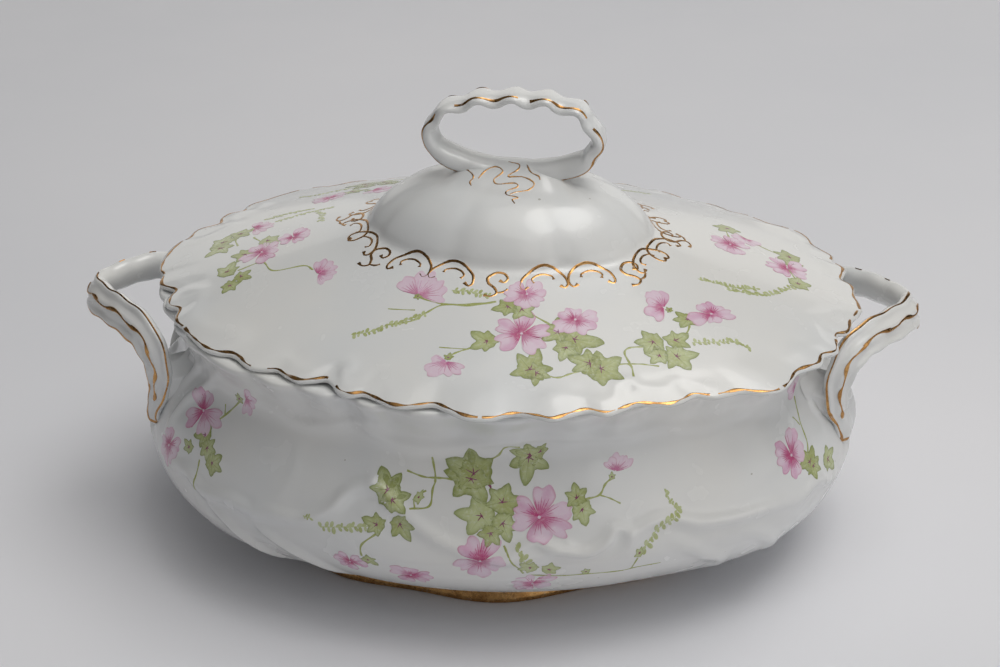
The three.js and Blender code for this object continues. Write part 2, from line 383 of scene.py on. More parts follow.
def gloss(m):
    """Sets the clear glaze, and gives its roughness and its soft ripples."""
    m.shader.inputs["IOR"].default_value = 1.52
    m.shader.inputs["Coat Weight"].default_value = 0.35
    m.shader.inputs["Coat Roughness"].default_value = 0.06
    return m.spread(m.noise(60), 0.3, 0.7, 0.2, 0.28), m.bump(m.noise(90, 1), 0.00012, 0.3)


def glaze(name):
    """White porcelain: faint clouds in the body, a softly rippled gloss and a few kiln specks."""
    m = Nodes(name)
    clouds = m.mix(m.spread(m.noise(14), 0.35, 0.65), PORCELAIN, PORCELAIN_COOL)
    tinted = m.mix(m.spread(m.noise(5.5), 0.45, 0.75, 0, 0.5), clouds, PORCELAIN_WARM)
    specks = m.spread(m.noise(420, 0), 0.9, 0.905, 0, 0.6)
    colour = m.mix(specks, tinted, KILN_SPECK)
    roughness, ripples = gloss(m)
    normal = m.bump(m.noise(900, 1), 0.00001, 0.4, ripples)
    return m.finish(colour, roughness, normal)


GOLD = srgb(170, 126, 76)
GOLD_BRIGHT = srgb(200, 156, 100)
GOLD_BROWN = srgb(100, 68, 42)


def gilding(name, wear=0.35):
    """Burnished gold over the glaze, rubbed brown and through to the white where it is worn."""
    m = Nodes(name)
    tone = m.mix(m.spread(m.noise(240, 4), 0.35, 0.7), GOLD, GOLD_BRIGHT)
    rubbed = m.mix(m.spread(m.noise(620, 5, 0.7), 0.5, 0.72, 0, 0.8), tone, GOLD_BROWN)
    patches = m.noise(330, 4, 0.65, 0.6)
    colour = m.mix(m.spread(patches, 0.62, 0.67, 0, wear), rubbed, PORCELAIN)
    metallic = m.spread(patches, 0.62, 0.67, 1, 1 - wear)
    roughness = m.spread(m.noise(500, 3), 0.3, 0.7, 0.2, 0.36)
    normal = m.bump(m.noise(700, 3), 0.00003, 0.6)
    return m.finish(colour, roughness, normal, metallic)


def enamel(name):
    """Transfer-printed colours under the glaze: the mesh's paint, a little uneven."""
    m = Nodes(name)
    paint = m.node("ShaderNodeAttribute", {}, attribute_name="paint")["Color"]
    mottled = m.mix(m.spread(m.noise(900, 4, 0.6), 0.45, 0.8, 0, 0.3), paint, PORCELAIN)
    return m.finish(mottled, *gloss(m))


bowl_glaze = glaze("bowl_glaze")
lid_glaze = glaze("lid_glaze")
handle_glaze = glaze("handle_glaze")
gold_lines = gilding("gold_lines")
gold_foot = gilding("gold_foot", 0.15)
painted = enamel("painted")

# ---- The ruffled edge that bowl and lid share.

# Angle in degrees and growth in hundredths, from the left end round the front to the right end.
# The back mirrors it.
EDGE = [
    (180, 2.4), (186.7, 1.9), (189.5, 0.4), (194.2, 1.0), (197.9, -2.6), (201, -0.2), (204.2, 1.0),
    (206.6, -1.2), (210.7, 1.7), (214.4, 1.5), (218.6, 2.2), (223.3, 3.0), (226, 2.2), (228, 0.2),
    (230.2, 0.2), (232.6, 1.4), (234.6, 1.2), (236.3, -0.2), (238, -1.8), (240.6, -0.6), (243.2, -0.2),
    (245, -2.2), (246.6, -4.2), (248.4, -2.8), (250.4, 0.1), (252.4, 0.5), (254.2, -1.4), (256.7, -0.4),
    (259.1, 1.1), (261.3, 1.1), (263.5, -0.4), (265.7, -1.7), (268, 0.4), (271, 3.2), (274.2, 2.9),
    (276.8, 0.3), (279, -0.4), (281.2, 0.6), (283.5, 2.1), (286.3, -0.1), (289, -1.6), (291.6, 0.3),
    (294.4, -1.6), (297.2, -3.6), (299.7, -2.7), (302.2, -1.6), (304.7, -2.4), (307.3, -3.8),
    (309.8, -1.6), (312.6, -1.4), (315.2, -1.2), (317.6, 1.4), (320.2, 2.8), (323.4, 1.8),
    (327.6, -1.0), (330.4, -0.8), (333.6, 0.1), (336.8, -1.8), (339.8, -0.3), (343.2, -2.4),
    (346.4, -4.2), (349, -2.0), (353.8, -2.6), (357, -1.6), (360, -0.8),
]
DROOP = 22  # mm that the edge sinks for each part of growth


_back = [(360 - angle, growth) for angle, growth in EDGE[:0:-1]]
_edge_angle, _edge_growth = spline(_back + EDGE, 10).T


def edge_growth(angle):
    return np.interp(np.mod(angle, TURN), np.radians(_edge_angle), _edge_growth / 100)


# ---- Bowl.

BELLY_HEIGHT = 46
NECK_HEIGHT = 83

# Profiles are (half depth, height) points.
bowl_profile = spline([
    (FOOT - 1, FLOOR), (FOOT + 13.5, FLOOR + 5.2), (FOOT + 27.5, FLOOR + 13.5),
    (BELLY - 3.2, BELLY_HEIGHT - 15), (BELLY, BELLY_HEIGHT), (BELLY - 3, BELLY_HEIGHT + 14),
    (NECK + 3.5, NECK_HEIGHT - 11), (NECK, NECK_HEIGHT), (NECK + 2.2, NECK_HEIGHT + 9),
    (RIM, RIM_TOP - 2.5),
], 16)
_rise = travelled(bowl_profile)


# The lower belly is drawn in between the handles: heights and how much.
UNDERCUT = [(FLOOR, 0.03), (12, 0.07), (20, 0.061), (31, 0.028), (42, 0)]


def bowl_growth(angle, height):
    undercut = np.interp(height, *np.transpose(UNDERCUT)) * ramp(np.abs(np.sin(angle)), 0.58, 0.9)
    rim = 0.75 * edge_growth(angle) - 0.022 * ramp(-np.cos(angle), 0.1, 0.8)
    return rim * ramp(height, NECK_HEIGHT - 2, RIM_TOP - 2) - undercut


def bowl_smooth(angle, height):
    half_depth = np.interp(height, bowl_profile[:, 1], bowl_profile[:, 0])
    return oval(angle, half_depth, height, bowl_growth(angle, height))


def up_the_bowl(height):
    return np.interp(height, bowl_profile[:, 1], _rise)


bowl = Skin(bowl_smooth, up_the_bowl, 1)

# Relief as (points, height, width, step).
BOWL_RELIEF = [
    # The neck's crease.
    ([(204, 86), (215, 86.5), (228, 88), (236, 84), (241, 85.5), (248, 90), (251, 86.5), (255, 84),
      (262, 84), (272, 88), (280, 90), (294, 87), (299, 88.5), (305, 86), (310, 84.5), (317, 85),
      (330, 81)], 0.9, 3.0, 0.5),
    # The wave that runs round the lower belly.
    ([(205, 46), (213, 50), (219, 47), (226, 49), (232, 48), (238, 50)], 1.5, 3.4, -0.8),
    ([(232, 52), (240, 51), (245, 57), (248, 65), (252, 68), (255, 64), (254, 60)], 1.4, 3.0, -0.6),
    ([(254, 66), (258, 59), (264, 51), (272, 45.5), (278, 47), (282, 50)], 1.3, 3.6, -0.8),
    ([(272, 45), (277, 52), (281, 49), (285, 47), (288, 50), (290, 55), (292, 53)], 1.5, 2.6, -0.7),
    ([(291, 46), (294, 54), (299, 56), (304, 52), (311, 50), (318, 49), (326, 46)], 1.4, 3.2, -0.8),
    ([(326, 44), (331, 49), (336, 45), (342, 42)], 1.2, 3.0, -0.6),
    # Knobs where the scrolls end.
    ([(250.5, 68), (252.5, 69.5)], 0.6, 4.8, 0),
    ([(291, 52), (293, 53)], 0.6, 4.6, 0),
    # Leaf edges that overlap under the belly.
    ([(219, 44), (224, 37), (228, 27), (230, 20)], 1.5, 2.6, 1.2),
    ([(231, 44), (235, 38), (240, 30), (243, 20)], 1.5, 2.6, 1.2),
    ([(300, 46), (306, 36), (311, 29), (314, 20)], 1.1, 3.4, -0.6),
    ([(312, 44), (319, 35), (323, 28), (326, 20)], 1.1, 3.4, -0.6),
    # The fan of ridges beside each handle.
    ([(216, 92), (209, 80), (204, 70), (202, 54)], 1.3, 2.4, 0.4),
    ([(209, 92), (203, 82), (199.5, 72), (197, 58)], 1.3, 2.4, 0.4),
    ([(203, 92), (198, 82), (195, 72), (192, 62)], 1.2, 2.2, 0.4),
    ([(331, 92), (334, 82), (331, 68), (335, 50)], 0.5, 3.2, 0),
    ([(338, 92), (341, 82), (340, 70), (345, 54)], 1.2, 2.4, 0),
    ([(345, 92), (347, 82), (347, 72), (351, 58)], 1.2, 2.4, 0),
    # Shallow upright panels of the belly.
    ([(305, 84), (303, 74), (303, 64), (306, 54)], 0.2, 4.5, 0),
    ([(236, 82), (237, 72), (237, 62), (234, 54)], 0.25, 3.6, 0),
    # The raised fan under each handle, at the bowl's ends.
    ([(180, 76), (180, 66), (180.5, 55), (182, 42)], 2.8, 8.0, 0),
    ([(187, 74), (188, 64), (190, 54), (193, 44)], 1.1, 2.8, 0),
    ([(173, 74), (172, 64), (170, 54), (167, 44)], 1.1, 2.8, 0),
]


def mould(skin, relief, taller, wider):
    """Raises relief on a skin and again half a turn round, made taller and wider by factors."""
    for path, height, width, step in relief:
        for half_turn in (0, 180):
            repeated = [(angle + half_turn, row) for angle, row in path]
            skin.ridge(repeated, taller * height, wider * width, step)


mould(bowl, BOWL_RELIEF, taller=1.35, wider=0.85)

BOWL_LIP = [
    (RIM + 0.25, RIM_TOP - 1.3), (RIM - 0.4, RIM_TOP - 0.25), (RIM - 2.4, RIM_TOP),
    (RIM - 9.5, RIM_TOP), (RIM - 10.6, RIM_TOP - 0.8),
]
bowl_inside = spline([
    (RIM - 11, RIM_TOP - 3), (NECK - 3.8, NECK_HEIGHT + 8), (NECK - WALL, NECK_HEIGHT),
    (NECK + 3 - WALL, NECK_HEIGHT - 11), (BELLY - 3.5 - WALL, BELLY_HEIGHT + 14),
    (BELLY - WALL, BELLY_HEIGHT), (BELLY - 4 - WALL, BELLY_HEIGHT - 14), (FOOT + 24, FLOOR + 16),
    (FOOT + 8, FLOOR + 7.5), (FOOT - 20, FLOOR + WALL + 0.6), (8, FLOOR + WALL + 0.1),
    (0.5, FLOOR + WALL),
], 4)


def columns_of(profile):
    """The half depths and the heights of a profile, each standing as a column."""
    return np.transpose(profile)[..., None]


def bowl_shell():
    columns = lap(SHELL_COLUMNS)[None]
    climb = np.linspace(0, _rise[-1], 104)[:, None]
    outside = bowl.point(columns, np.interp(climb, _rise, bowl_profile[:, 1]))
    half_depth, height = columns_of([*BOWL_LIP, *bowl_inside])
    inside = oval(columns, half_depth, height, bowl_growth(columns, height))
    under = oval(columns, np.array([[0.5], [20], [40], [FOOT - 3]]), FLOOR)
    shell = Mesh()
    shell.grid(np.vstack([under, outside, inside]), cap_ends=True)
    shell.piece("bowl_shell", "bowl", bowl_glaze, ["tureen_bowl"], 60)


# ---- Lid.

lid_profile = spline([
    (0.01, CROWN), (DOME - 25, CROWN - 0.7), (DOME - 17, CROWN - 2.7), (DOME - 11.5, CROWN - 5.6),
    (DOME - 7.2, CROWN - 9.2), (DOME - 4, CROWN - 13.2), (DOME - 1.6, CROWN - 17.2),
    (DOME - 0.3, CROWN - 20.2), (DOME + 1.4, CROWN - 21.9), (DOME + 5, CROWN - 23.2),
    (DOME + 12, SEAT + 21.4), (LID - 36, SEAT + 16.3), (LID - 18, SEAT + 9.4), (LID - 2.5, SEAT + 2.9),
    (LID, SEAT + 1.7),
], 16)
_reach = travelled(lid_profile)
DOME_LOBES = 8
SADDLE_RISE = 5.6
FIRST_VALLEY = math.radians(27)


def lid_growth(angle, half_depth):
    bulge = 1 - np.exp(-((np.sin(DOME_LOBES / 2 * (angle - FIRST_VALLEY)) / 0.42) ** 2))
    lobes = 0.026 * (bulge - 0.7) * ramp(half_depth, 6, 26)
    lobes = lobes * (1 - ramp(half_depth, DOME - 1, DOME + 8))
    return edge_growth(angle) * ramp(half_depth, LID - 15, LID) + lobes


def onto_bowl(points):
    """Turns and shifts the lid's own frame to where the lid lies."""
    level = turned(points[..., 0], points[..., 1], LID_TURN) + (LID_SHIFT, 0)
    return np.concatenate([level, points[..., 2:]], -1)


def droop(angle, half_depth):
    return DROOP * edge_growth(angle) * ramp(half_depth, LID - 10, LID)


def saddle(angle, half_depth):
    """The clay that is smoothed up from the crown to the loop's foot."""
    x = np.abs(half_length(half_depth) * np.cos(angle))
    y = np.abs(half_depth * np.sin(angle))
    return SADDLE_RISE * (1 - ramp(x, 12, 27)) * (1 - ramp(y, 2, 15))


def lid_smooth(angle, half_depth):
    height = np.interp(half_depth, lid_profile[:, 0], lid_profile[:, 1])
    height = height - droop(angle, half_depth) + saddle(angle, half_depth)
    return onto_bowl(oval(angle, half_depth, height, lid_growth(angle, half_depth)))


def out_from_crown(half_depth):
    return np.interp(half_depth, lid_profile[:, 0], _reach)


lid = Skin(lid_smooth, out_from_crown, -1)

LID_RELIEF = [
    ([(226, 97), (232, 98), (236, 93.5), (240, 95.5), (243.5, 94.5), (245.5, 90), (247.5, 87.5),
      (249.3, 90), (249, 94), (251, 97), (254, 97), (256.5, 93.5), (259, 96.5)], 0.8, 1.8, 0),
    ([(247, 90), (248.6, 92.5), (247.5, 94.5)], 0.7, 1.5, 0),
    ([(282, 93.5), (285, 91.5), (288, 93.5), (291.5, 95), (294, 94), (295.5, 89.5), (298, 88),
      (299.6, 91.5), (303, 92.8), (306, 91), (308.5, 93.5), (311, 96)], 0.8, 1.8, 0),
    ([(297, 90), (298.5, 92.5), (297, 94.5)], 0.7, 1.5, 0),
    ([(193, 96), (199, 95), (203, 90), (208, 94), (213, 96), (219, 95), (224, 92), (228, 95)],
     0.8, 1.8, 0),
    ([(327, 95), (333, 93), (339, 95), (344, 91), (347, 87.5), (351, 90), (355, 93), (357, 96)],
     0.8, 1.8, 0),
]

mould(lid, LID_RELIEF, taller=0.6, wider=1.5)

LID_LIP = [(LID + 0.1, SEAT + 1), (LID - 0.5, SEAT + 0.2), (LID - 2.5, SEAT), (LID - 5.5, SEAT)]
lid_inside = spline([
    (LID - 8, SEAT + 0.6), (LID - 14, SEAT + 6.7 - WALL), (LID - 36, SEAT + 15.7 - WALL),
    (DOME + 12, SEAT + 20.9 - WALL), (DOME - 2, CROWN - 20.7 - WALL), (DOME - 7, CROWN - 16.1 - WALL),
    (DOME - 10.6, CROWN - 10.9 - WALL), (DOME - 14.4, CROWN - 6.2 - WALL),
    (DOME - 19, CROWN - 3 - WALL), (DOME - 26, CROWN - 0.9 - WALL), (0.5, CROWN - WALL),
], 4)


def lid_shell():
    columns = lap(SHELL_COLUMNS)[None]
    travel = np.linspace(0.6, _reach[-1], 100)[:, None]
    top = lid.point(columns, np.interp(travel, _reach, lid_profile[:, 0]))
    half_depth, height = columns_of([*LID_LIP, *lid_inside])
    sunk = height - droop(columns, half_depth)
    inside = onto_bowl(oval(columns, half_depth, sunk, lid_growth(columns, half_depth)))
    shell = Mesh()
    shell.grid(np.vstack([top, inside])[::-1], cap_ends=True)
    shell.piece("lid_shell", "lid", lid_glaze, ["lid_cover"], 60)


# ---- Foot ring and locating flange.


RING = lap(320)
FOOT_LOBES = 8


def lathe(profile, growth=0.0):
    half_depth, height = columns_of(profile)
    return oval(RING, half_depth, height, growth)


def foot_lobes(angle):
    lean = 0.03 * np.cos(2 * (angle - math.radians(235)))
    return 0.03 * np.cos(FOOT_LOBES * (angle - math.radians(2))) + lean - 0.008


def foot_band():
    inner = FOOT - 4.5
    band = Mesh()
    profile = [
        (inner, 0.2), (inner + 0.4, 0), (FOOT - 0.9, 0), (FOOT - 0.3, 0.3), (FOOT, 1), (FOOT - 0.2, 2.2),
        (FOOT - 0.9, 3.8), (FOOT - 1.3, FOOT_TOP), (inner - 1, FOOT_TOP), (inner - 0.4, 3),
    ]
    band.grid(lathe(profile, foot_lobes(RING)), wrap_rows=True)
    band.piece("foot_band", "bowl", gold_foot, ["foot_ring"])


def flange_wall():
    outer = flange_high[1] - 0.5
    inner = outer - 3
    bottom = flange_low[2]
    top = flange_high[2] - 0.9
    profile = [
        (inner, bottom + 0.8), (inner + 0.6, bottom + 0.1), (inner + 1.5, bottom),
        (outer - 0.6, bottom + 0.1), (outer, bottom + 0.8), (outer, bottom + 5),
        (outer + 0.2, top - 2.6), (outer - 0.4, top - 2),
        (inner, top), (inner - 0.3, top - 1), (inner, bottom + 6),
    ]
    wall = Mesh()
    wall.grid(onto_bowl(lathe(profile)), wrap_rows=True)
    wall.piece("flange_wall", "lid", lid_glaze, ["lid_locating_flange"])


# ---- Straps: the handles' flat band, with two channels on its outward face.


class Strap:
    """A band along a path of centres. An angle goes round its section: 0 is one edge, 90 degrees
    the middle of the outward face, 180 the other edge."""

    def __init__(self, centres, outward, half_width, half_thickness, channel, crimp=0, closed=False):
        self.centres = centres
        tangent = headings(centres, closed)
        self.outward = unit(outward - (outward * tangent).sum(-1, keepdims=True) * tangent)
        self.across = np.cross(tangent, self.outward)
        self.half_width = half_width
        self.half_thickness = half_thickness
        self.channel = channel
        self.crimp = crimp

    def section(self, turn):
        """(across, outward) of the section at an angle, for every station."""
        c, s = np.cos(turn), np.sin(turn)
        spread = np.abs(c) ** 0.8
        hollow = self.channel * (1 - np.cos(TURN * spread)) / 2
        outer = np.clip(s, 0, 1) ** 0.62 * self.half_thickness - hollow
        inner = 1.25 * s * self.half_thickness
        out = np.where(s > 0, outer, inner)
        return np.sign(c) * spread * self.half_width, out - self.crimp * np.abs(c) ** 3

    def line(self, turn):
        side, out = self.section(turn)
        return self.centres + self.across * side[:, None] + self.outward * out[:, None]

    def surface(self):
        return np.stack([self.line(turn) for turn in lap(36)], 1)


SUNK = 0.35


def bead(mesh, centres, normals, half_width, proud, colour=(1, 1, 1)):
    """A low rounded bead laid along points of a surface, its edges sunk into it."""
    side = unit(np.cross(normals, headings(centres)))
    width = np.broadcast_to(half_width, len(centres))[:, None]
    half = [(1, -SUNK), (1, 0.25 * proud), (0.55, 0.85 * proud)]
    shape = [(-a, b) for a, b in half] + [(0, proud)] + half[::-1]
    ring = np.stack([centres + side * width * a + normals * b for a, b in shape], 1)
    mesh.grid(ring, cap_ends=True, colour=colour)


HANDLE_POINT = (157.2, 0, 97.4)
HANDLE_WIDTH = 13
HANDLE_TIP_WIDTH = 7.4
HANDLE_THICKNESS = 6.6
HANDLE_TIP_THICKNESS = 2.4
# The middle of the right handle's back leg, from the bowl up to the point where the legs meet.
HANDLE_LEG = [
    (132.6, 24.4, 52), (132.9, 25.4, 56.5), (131.2, 28, 63), (128.8, 30.5, 70), (128, 31.5, 79),
    (129.8, 31, 87.5), (134.4, 27.4, 94.3), (142, 20.5, 97), (150, 12.5, 97.4), (155.4, 5.4, 97.4),
]


def handle_strap(side):
    """side is 1 for the right end and -1 for the left, which is the right one turned half round."""
    front = [(x, -y, z) for x, y, z in reversed(HANDLE_LEG)]
    centres = spline([*HANDLE_LEG, HANDLE_POINT, *front], 16)
    run = travelled(centres)
    t = run / run[-1]
    from_tip = np.minimum(t, 1 - t) * 2
    width = (HANDLE_TIP_WIDTH + (HANDLE_WIDTH - HANDLE_TIP_WIDTH) * ramp(from_tip, 0.08, 0.6)) / 2
    width = width * np.sqrt(np.clip(1 - (1 - np.clip(from_tip / 0.075, 0, 1)) ** 2, 0.02, 1))
    width = width * (1 + 0.045 * np.sin(run / 1.9))
    swelling = (HANDLE_THICKNESS - HANDLE_TIP_THICKNESS) * ramp(from_tip, 0.03, 0.35)
    thickness = (HANDLE_TIP_THICKNESS + swelling) / 2
    turned_out = 0.5 + 0.5 * (1 - ramp(np.abs(centres[:, 1]), 4, 28))
    outward = np.stack([turned_out, centres[:, 1] / 30, 0.4 + 0 * t], -1)
    channel = (1.15 + 0.35 * np.sin(run / 2.6)) * ramp(from_tip, 0.08, 0.3)
    facing = np.array([side, side, 1])
    return Strap(centres * facing, outward * facing, width, thickness, channel)


# Half thicknesses at shares of the way from a leg to the bowl.
WEB_HALF_THICKNESS = ((0, 0.6), (0.2, 0.7), (0.4, 0.8), (0.6, 0.9), (0.8, 1.2), (1, 1.9))


def web(centres):
    """The fin of clay that joins the lower part of a leg to the bowl."""
    leg = centres[(centres[:, 2] < 91) & (np.arange(len(centres)) < len(centres) / 2)][6:]
    height = leg[:, 2]
    half_depth = np.interp(height, bowl_profile[:, 1], bowl_profile[:, 0])
    depth = leg[:, 1] * 0.94
    inset = np.sqrt(1 - (depth / half_depth) ** 2)
    end = np.sign(leg[:, 0])
    k = 1 + bowl_growth(np.arctan2(depth / half_depth, end * inset), height)
    root = np.stack([end * (half_length(half_depth) * inset * k - 2), depth, height], -1)
    thin = 2.4 * ramp(92 - height, 0, 13) + 0.15
    sag = np.array([0, 0, 1]) * 9 * ramp(height, 72, 91)[:, None]
    front, back = [], []
    for share, half in WEB_HALF_THICKNESS:
        middle = leg + (root - leg) * share - sag * math.sin(math.pi * share**0.8)
        aside = np.array([0, 1, 0]) * (half * thin)[:, None]
        front.append(middle + aside)
        back.append(middle - aside)
    return np.stack([*front, *back[::-1]], 1)


def handle_gold(strap, side):
    """Worn gold along both edges and the crease of the front leg, and dashes on the back leg."""
    gold = Mesh()
    count = len(strap.centres)
    half = count // 2
    order = np.arange(count)[::side]
    front, back = order[half - 4 :], order[6 : half - 8]
    inset = np.radians(18 + 34 * ramp(np.abs(np.linspace(-1, 1, count)), 0.62, 0.9))
    edges = []
    for turn, lean in ((inset, 0.35), (math.pi - inset, -0.35)):
        edges.append((strap.line(turn), unit(strap.outward + lean * strap.across)))
    (inner, inner_facing), (outer, outer_facing) = edges[::side]
    # The gold of the inner edge turns round the tip of the leg.
    leg = front[:-7]
    tip = leg[-1]
    turns = np.linspace(inset[tip], math.pi - inset[tip], 9)[::side]
    arc = np.array([strap.line(turn)[tip] for turn in turns])
    edge = np.vstack([inner[leg], arc])
    facing = np.vstack([inner_facing[leg], np.repeat(strap.outward[[tip]], len(arc), 0)])
    bead(gold, edge, facing, 0.55 + 0.25 * np.sin(np.arange(len(edge)) * 0.13), 0.14)
    kept = leg[: len(leg) // 9] if side > 0 else leg
    bead(gold, outer[kept], outer_facing[kept], 0.4, 0.14)
    for points, facing in edges:
        for start in range(6, len(back) - 7, 19):
            dash = back[start : start + 5]
            bead(gold, points[dash], facing[dash], 0.34, 0.12)
    crease = front[: -half // 4]
    thin = 0.3 + 0.5 * np.sin(np.arange(len(crease)) * 0.17) ** 4
    sway = math.radians(90) + 0.05 * np.sin(np.arange(count) * 0.26)
    bead(gold, strap.line(sway)[crease], strap.outward[crease], thin, 0.12)
    return gold


def side_handle(side, name):
    strap = handle_strap(side)
    body = Mesh()
    body.grid(strap.surface(), cap_ends=True)
    for end in (1, -1):
        body.grid(web(strap.centres[::end]), cap_ends=True)
    body.piece(name, "bowl", handle_glaze, [name.replace("bail", "handle")], 70)
    handle_gold(strap, side).gilt(name + "_gold", "bowl")


LOOP_HALF = 31.7
LOOP_SHIFT = 1.2
LOOP_CRIMPS = 12
LOOP_WIDTH = 12.6
LOOP_THICKNESS = 3.4
# Where the gold is left on the loop's two edges, in degrees from its foot by way of the right side.
LOOP_GOLD = {
    20: [(24, 62), (68, 106), (122, 134), (196, 232), (240, 336)],
    138: [(20, 112), (124, 172), (178, 222), (240, 335)],
}


def loop_strap():
    top = loop_high[2] - 2
    bottom = CROWN + 1.8
    middle = (top + bottom) / 2
    half_height = (top - bottom) / 2
    turn = lap(288)
    sine, cosine = np.sin(turn), np.cos(turn)
    x = LOOP_HALF * np.sign(sine) * np.abs(sine) ** 0.88
    z = middle - half_height * np.sign(cosine) * np.abs(cosine) ** 0.88
    outward = np.stack([x / LOOP_HALF, 0 * x, (z - middle) / half_height], -1)
    run = np.cumsum(np.hypot(np.diff(x, append=x[:1]), np.diff(z, append=z[:1])))
    wave = np.cos(run / run[-1] * TURN * LOOP_CRIMPS - 0.5)
    upper = ramp(0.3 * sine - cosine, -0.55, 0.1)
    swing = unit(outward) * (0.55 * wave * upper)[:, None]
    tilt = 0.045 * x * ramp(z, middle, top)
    centres = np.stack([x + LOOP_SHIFT, 0 * x, z + tilt + 1.4 * ramp(z, middle, top)], -1) + swing
    sides = np.abs(sine) ** 2 * ramp(-z, -top, -bottom)
    foot = 1 - ramp(-cosine, -0.85, -0.3)
    thickness = (LOOP_THICKNESS + 2.6 * (sides + foot)) / 2
    crimp = (1.1 - 0.8 * wave) * upper
    width = LOOP_WIDTH / 2 + 0.25 * wave
    strap = Strap(centres, outward, width, thickness, 0, crimp, closed=True)
    strap.centres = onto_bowl(strap.centres)
    strap.across = onto_bowl(strap.across) - onto_bowl(np.zeros(3))
    strap.outward = onto_bowl(strap.outward) - onto_bowl(np.zeros(3))
    return strap


def loop_handle():
    strap = loop_strap()
    body = Mesh()
    body.grid(strap.surface(), wrap_rows=True)
    body.piece("loop_ring", "lid", handle_glaze, ["lid_loop_handle"], 70)
    gold = Mesh()
    for turn, stretches in LOOP_GOLD.items():
        angle = math.radians(turn)
        centres = strap.line(angle)
        normals = unit(strap.across * math.cos(angle) + strap.outward * math.sin(angle))
        for start, stop in stretches:
            part = slice(int(start * 0.8), int(stop * 0.8))
            width = 0.42 + 0.2 * np.sin(np.arange(part.stop - part.start) * 0.21) ** 2
            bead(gold, centres[part], normals[part], width, 0.12)
    gold.gilt("loop_gold", "lid")


# ---- Gold on the lid.


def gold_on_lid(mesh, angle, row, half_width, proud=0.12):
    bead(mesh, lid.point(angle, row), lid.normal(angle, row), half_width, proud)


def scroll(mesh, centre, strokes, mirror=1):
    """Gold strokes through (right, up) millimetres round a centre, with balls at their ends."""
    for path, half_width, ball in strokes:
        stroke = spline(path, 8) * (mirror, 1)
        fraction = np.linspace(0, 1, len(stroke))
        ends = np.exp(-((fraction / 0.05) ** 2)) + np.exp(-(((1 - fraction) / 0.05) ** 2))
        width = half_width * (0.6 + 0.55 * np.sin(np.pi * fraction)) + ball * ends
        gold_on_lid(mesh, *lid.spots(centre, stroke), width)


# The border's scrolls as (path, half width, ball).
C_SCROLL = [
    ([(-5.6, -3.2), (-7.2, -4.6), (-8.4, -3), (-7.8, 1.2), (-4.6, 4.4), (0, 5.4), (4.8, 4.6), (7.6, 1.8),
      (8.2, -1.8), (6.8, -3.8), (5.2, -2.8)], 0.5, 0.45),
    ([(-3.8, -1.4), (-4.6, 0.4), (-3, 2.4), (0, 3), (3, 1.9), (3.5, 0.2)], 0.4, 0.4),
]
S_SCROLL = [
    ([(-3.2, -6.6), (-1, -7), (0.8, -5.4), (-0.2, -3), (-2.6, -1), (-3.2, 1.8), (-0.6, 4.2), (2.8, 4),
      (4.2, 1.8), (3, -0.2), (1.2, 0.6)], 0.5, 0.45),
    ([(0.6, -5.2), (3, -4.6), (4.4, -3.2)], 0.42, 0.4),
]
BORDER_ROW = 42.4
S_SCROLLS_AT = (5, 44, 92, 138, 179, 223, 272, 323)


def dome_border():
    gold = Mesh()
    for at, following in zip(S_SCROLLS_AT, (*S_SCROLLS_AT[1:], S_SCROLLS_AT[0] + 360)):
        scroll(gold, (at, BORDER_ROW + 1), S_SCROLL)
        for share, mirror in ((0.33, 1), (0.67, -1)):
            scroll(gold, (at + (following - at) * share, BORDER_ROW), C_SCROLL, mirror)
    return gold


def rim_line():
    """The gold is rubbed off the ruffled edge here and there."""
    wear = np.random.default_rng(5)
    gold = Mesh()
    start = 0.0
    while start < 357:
        stop = min(start + wear.uniform(6, 26), 359)
        angle = np.radians(np.arange(start, stop, 0.4))
        run = around(angle)
        row = LID - 0.75 + 0.3 * np.sin(run / 7.5)
        width = 0.42 + 0.2 * np.sin(run / 3.1) * np.sin(run / 7.7 + 1) + 0.16 * np.sin(run / 1.3)
        gold_on_lid(gold, angle, row, width)
        start = stop + wear.uniform(0.3, 2.6)
    return gold


CROWN_RIBBON = [
    [(-19, -4), (-15, -6.4), (-12.4, -9), (-13.4, -10.8), (-12.6, -12.2)],
    [(-10.5, -9.5), (-8, -6.4), (-4.6, -4.8), (-1.8, -6.6), (-4.6, -9.6), (-3, -11.2), (3, -10.4),
     (4.6, -11.6), (1, -13.8), (1.4, -16), (5.6, -17), (3.8, -18.4), (5, -20.2)],
    [(-0.6, -1.4), (3.6, -2.8), (3.6, -5.4), (0.4, -8.2), (6, -8), (10.4, -9.8), (9, -12.4), (4.4, -14),
     (2.4, -15.6)],
    [(6, -1.6), (8.4, -5.8), (11.6, -7.2), (12.4, -8.4)],
    [(6, -1.6), (11, -3.4), (16, -4.2)],
]


def crown_ribbon():
    """A thin flourish below the loop, laid through (right, back) millimetres on the crown."""
    rows = np.linspace(0.5, 60, 600)
    gold = Mesh()
    for path in CROWN_RIBBON:
        x, y = spline(path, 8).T
        inside = (x[:, None] / half_length(rows)) ** 2 + (y[:, None] / rows) ** 2 < 1
        row = rows[inside.argmax(1)]
        angle = np.arctan2(y / row, x / half_length(row))
        width = 0.2 + 0.12 * np.sin(np.arange(len(x)) * 0.3) ** 2
        gold_on_lid(gold, angle, row, width, 0.1)
    return gold


# ---- Painted sprays.

GREEN = srgb(160, 167, 98)
GREEN_DARK = srgb(122, 134, 68)
GREEN_PALE = srgb(190, 198, 150)
PLUM = srgb(132, 66, 96)
PINK = srgb(207, 148, 184)
PINK_DEEP = srgb(182, 60, 116)
PINK_PALE = srgb(224, 202, 217)

random = np.random.default_rng(7)


